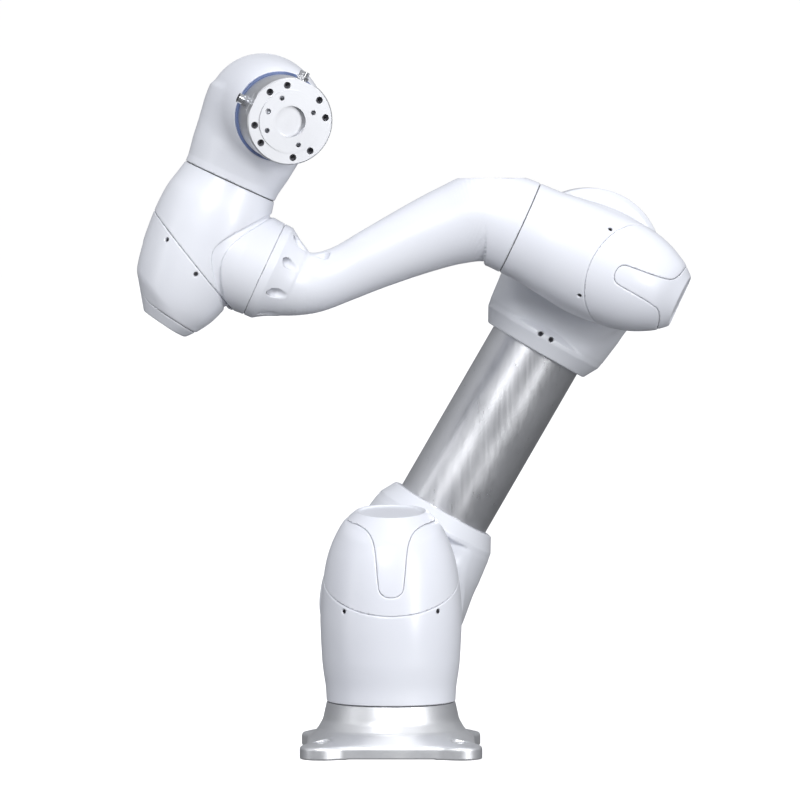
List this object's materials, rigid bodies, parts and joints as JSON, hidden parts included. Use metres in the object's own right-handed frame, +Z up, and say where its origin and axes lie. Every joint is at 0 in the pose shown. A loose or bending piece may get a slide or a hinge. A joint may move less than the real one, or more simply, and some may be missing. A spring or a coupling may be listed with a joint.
{
  "type": "collaborative robot arm",
  "caption": "Jointed robot arm with a square mounting base, round white joint housings, a bare tube for the upper arm, a bent forearm and a round tool flange.",
  "frame": {"origin": "middle of the mounting face under the base", "axes": "+Z up along joint 1, the arm lies in the XZ plane with the upper arm leaning to +X and set off towards +Y, the tool flange faces -Y at rest"},
  "size_m": [0.5645, 0.3218, 0.708],
  "materials": {
    "bare_aluminium": "satin machined casting",
    "satin_tube": "satin drawn tube",
    "painted_casting": "satin white paint on an aluminium casting",
    "white_shell": "satin white moulded cover",
    "drive_steel": "machined",
    "motor_winding": "enamelled winding in a laminated stack",
    "seal_rubber": "matte",
    "screw_steel": "blackened",
    "connector_black": "moulded",
    "connector_metal": "nickel plated",
    "light_ring": "translucent lens"
  },
  "bodies": {
    "base": {"base_cable_socket": "connector_black", "base_casting": "bare_aluminium", "j1_output_hub": "drive_steel"},
    "shoulder": {"j1_motor_rotor": "drive_steel", "j1_motor_stator": "motor_winding", "j1_ring_gear": "drive_steel", "j1_seal": "seal_rubber", "j2_output_hub": "drive_steel", "shoulder_cap": "white_shell", "shoulder_cover": "white_shell", "shoulder_cover_screws": "screw_steel", "shoulder_housing": "painted_casting"},
    "upper_arm": {"arm_tube": "satin_tube", "j2_motor_rotor": "drive_steel", "j2_motor_stator": "motor_winding", "j2_ring_gear": "drive_steel", "j2_seal": "seal_rubber", "j3_motor_rotor": "drive_steel", "j3_motor_stator": "motor_winding", "j3_ring_gear": "drive_steel", "j3_seal": "seal_rubber", "lower_arm_end": "painted_casting", "lower_arm_end_cap": "white_shell", "lower_clamp_screws": "screw_steel", "upper_arm_end": "painted_casting", "upper_arm_end_cap": "white_shell", "upper_clamp_screws": "screw_steel"},
    "elbow": {"elbow_cap": "white_shell", "elbow_cover": "white_shell", "elbow_cover_screws": "screw_steel", "elbow_housing": "painted_casting", "j3_output_hub": "drive_steel", "j4_motor_rotor": "drive_steel", "j4_motor_stator": "motor_winding", "j4_ring_gear": "drive_steel", "j4_seal": "seal_rubber"},
    "forearm": {"forearm_link": "painted_casting", "forearm_link_screws": "screw_steel", "j4_output_hub": "drive_steel", "j5_motor_rotor": "drive_steel", "j5_motor_stator": "motor_winding", "j5_ring_gear": "drive_steel", "j5_seal": "seal_rubber", "wrist_cap": "white_shell", "wrist_cover": "white_shell", "wrist_cover_screws": "screw_steel", "wrist_housing": "painted_casting"},
    "head": {"head_cap": "white_shell", "head_cover": "white_shell", "head_housing": "painted_casting", "j5_output_hub": "drive_steel", "j6_motor_rotor": "drive_steel", "j6_motor_stator": "motor_winding", "j6_ring_gear": "drive_steel", "status_light_ring": "light_ring"},
    "flange": {"j6_output_hub": "drive_steel", "tool_flange": "bare_aluminium", "tool_flange_screws": "screw_steel", "tool_io_connectors": "connector_metal"}
  },
  "joints": [
    {"name": "j1_base", "type": "hinge", "parent": "base", "child": "shoulder", "pos_m": [0, 0, 0.052], "axis": [0, 0, 1], "range_deg": [-360, 360]},
    {"name": "j2_shoulder", "type": "hinge", "parent": "shoulder", "child": "upper_arm", "pos_m": [0, 0, 0.145], "axis": [0, 1, 0], "range_deg": [-125, 65]},
    {"name": "j3_elbow", "type": "hinge", "parent": "upper_arm", "child": "elbow", "pos_m": [0.2045, 0, 0.4992], "axis": [0, -1, 0], "range_deg": [-230.2, 28]},
    {"name": "j4_forearm", "type": "hinge", "parent": "elbow", "child": "forearm", "pos_m": [0.13115, 0, 0.5331], "axis": [-0.9078, 0, 0.4195], "range_deg": [-360, 360]},
    {"name": "j5_wrist", "type": "hinge", "parent": "forearm", "child": "head", "pos_m": [-0.16354, 0, 0.58003], "axis": [-0.4195, 0, -0.9078], "range_deg": [-240.6, 29.4]},
    {"name": "j6_tool", "type": "hinge", "parent": "head", "child": "flange", "pos_m": [-0.11247, -0.06742, 0.64567], "axis": [0.2441, -0.9632, -0.1128], "range_deg": [-360, 360]}
  ]
}
